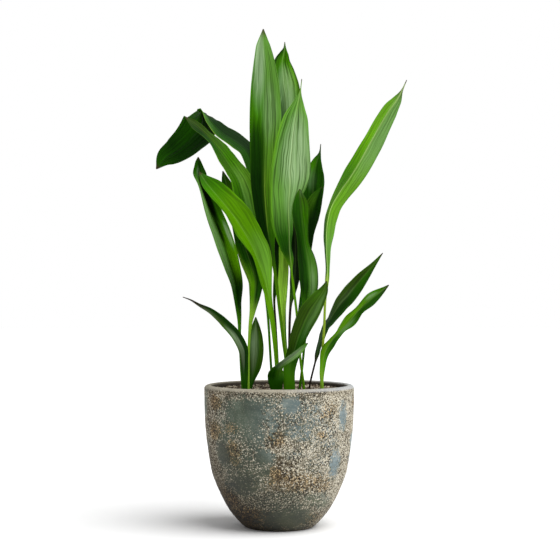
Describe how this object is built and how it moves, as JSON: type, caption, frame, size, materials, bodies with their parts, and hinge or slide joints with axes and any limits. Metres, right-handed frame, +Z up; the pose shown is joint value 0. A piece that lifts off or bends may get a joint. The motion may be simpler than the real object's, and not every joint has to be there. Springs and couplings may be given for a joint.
{
  "type": "potted cast iron plant",
  "caption": "Cast iron plant with long arching lance-shaped leaves on slim stalks, standing in a round tapered ceramic planter with a rough mottled glaze.",
  "frame": {"origin": "centre of the flat base of the pot, on the surface that the pot stands on", "axes": "+Z up along the pot's axis, -Y towards the side that faces the picture's camera, +X to the right as seen from there"},
  "size_m": [0.5114, 0.3118, 0.9992],
  "materials": {
    "pot_glaze": "matte",
    "potting_mix": "matte",
    "leaf_bright_green": "satin",
    "leaf_mid_green": "satin",
    "leaf_deep_green": "satin",
    "leaf_pale_green": "satin"
  },
  "bodies": {
    "root": {"pot": "pot_glaze", "soil": "potting_mix", "leaf_tallest": "leaf_mid_green", "leaf_glossy": "leaf_pale_green", "leaf_right_centre": "leaf_deep_green", "leaf_second_tall": "leaf_deep_green", "leaf_right_tall": "leaf_bright_green", "leaf_arching": "leaf_deep_green", "leaf_upper_left": "leaf_mid_green", "leaf_bright_left": "leaf_bright_green", "leaf_low_right": "leaf_mid_green", "leaf_behind_left": "leaf_mid_green", "leaf_folded_left": "leaf_deep_green", "leaf_low_left": "leaf_deep_green", "leaf_small_upright": "leaf_pale_green", "leaf_front_folded": "leaf_mid_green", "leaf_dark_right": "leaf_deep_green", "leaf_wavy_right": "leaf_bright_green", "leaf_upper_right": "leaf_deep_green", "leaf_right_behind": "leaf_deep_green", "leaf_dark_centre": "leaf_deep_green", "leaf_light_inner": "leaf_bright_green", "leaf_dark_inner": "leaf_deep_green"}
  },
  "joints": []
}
